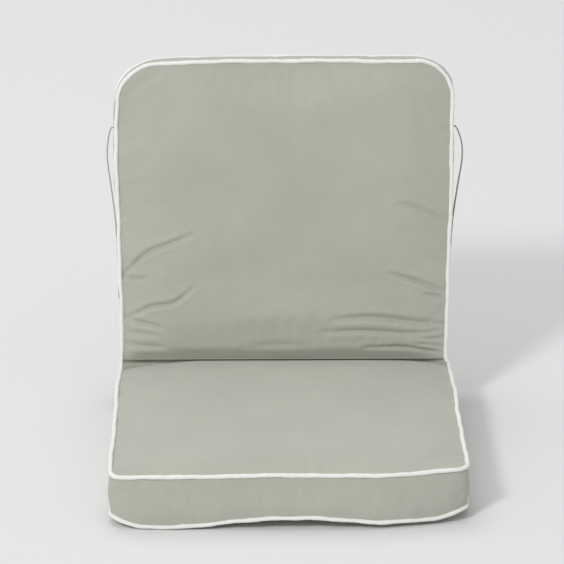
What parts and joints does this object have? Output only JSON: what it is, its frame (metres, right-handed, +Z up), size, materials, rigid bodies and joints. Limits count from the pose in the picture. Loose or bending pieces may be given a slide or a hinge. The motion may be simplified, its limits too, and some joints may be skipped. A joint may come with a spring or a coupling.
{
  "type": "folding chair cushion",
  "caption": "Folding seat-and-back cushion with boxed sides, contrasting corded piping, foam filling, zipped gussets at the fold and side ties.",
  "frame": {"origin": "centre of the seat's flat underside, on the surface it rests on", "axes": "+Z up, the sitting side faces -Y, +X to the right as seen from the front; the fold runs along X"},
  "size_m": [0.5234, 0.6782, 0.509],
  "materials": {
    "cover_cloth": "grey-green plain-weave outdoor canvas",
    "piping_cloth": "white plain-weave cotton-look bias strip",
    "filler_cord": "soft braided polyester cord",
    "foam": "open-cell polyurethane foam",
    "wadding": "bonded polyester fibre",
    "zip_tape": "woven zip tape with moulded coil",
    "zip_metal": "nickel-plated die casting",
    "label_tape": "blank woven satin tape"
  },
  "bodies": {
    "seat": {"care_label": "label_tape", "fold_seam": "cover_cloth", "seat_bottom_panel": "cover_cloth", "seat_bottom_piping": "piping_cloth", "seat_bottom_piping_cord": "filler_cord", "seat_bottom_wadding": "wadding", "seat_boxing": "cover_cloth", "seat_foam_core": "foam", "seat_gusset_bottom_strip": "cover_cloth", "seat_gusset_fold_strip": "cover_cloth", "seat_top_panel": "cover_cloth", "seat_top_piping": "piping_cloth", "seat_top_piping_cord": "filler_cord", "seat_top_wadding": "wadding", "seat_zip_bottom_tape": "zip_tape", "seat_zip_stops": "zip_metal", "seat_zip_top_tape": "zip_tape"},
    "back": {"back_boxing": "cover_cloth", "back_foam_core": "foam", "back_front_panel": "cover_cloth", "back_front_piping": "piping_cloth", "back_front_piping_cord": "filler_cord", "back_front_wadding": "wadding", "back_gusset_fold_strip": "cover_cloth", "back_gusset_rear_strip": "cover_cloth", "back_left_tie": "cover_cloth", "back_rear_panel": "cover_cloth", "back_rear_piping": "piping_cloth", "back_rear_piping_cord": "filler_cord", "back_rear_wadding": "wadding", "back_right_tie": "cover_cloth", "back_zip_front_tape": "zip_tape", "back_zip_rear_tape": "zip_tape", "back_zip_stops": "zip_metal"},
    "seat_slider": {"seat_zip_slider": "zip_metal"},
    "seat_pull": {"seat_zip_pull": "zip_metal"},
    "back_slider": {"back_zip_slider": "zip_metal"},
    "back_pull": {"back_zip_pull": "zip_metal"}
  },
  "joints": [
    {"name": "back_fold", "type": "hinge", "parent": "seat", "child": "back", "pos_m": [0, 0.245, 0.075], "axis": [1, 0, 0], "range_deg": [-75, 97]},
    {"name": "seat_zip_run", "type": "slide", "parent": "seat", "child": "seat_slider", "axis": [1, 0, 0], "range_m": [0, 0.384]},
    {"name": "seat_pull_swing", "type": "hinge", "parent": "seat_slider", "child": "seat_pull", "pos_m": [-0.192, 0.24525, 0.028], "axis": [0, 0, 1], "range_deg": [0, 170]},
    {"name": "back_zip_run", "type": "slide", "parent": "back", "child": "back_slider", "axis": [-1, 0, 0], "range_m": [0, 0.384]},
    {"name": "back_pull_swing", "type": "hinge", "parent": "back_slider", "child": "back_pull", "pos_m": [0.192, 0.27198, 0.06751], "axis": [0, -0.9659, 0.2588], "range_deg": [0, 170]}
  ]
}
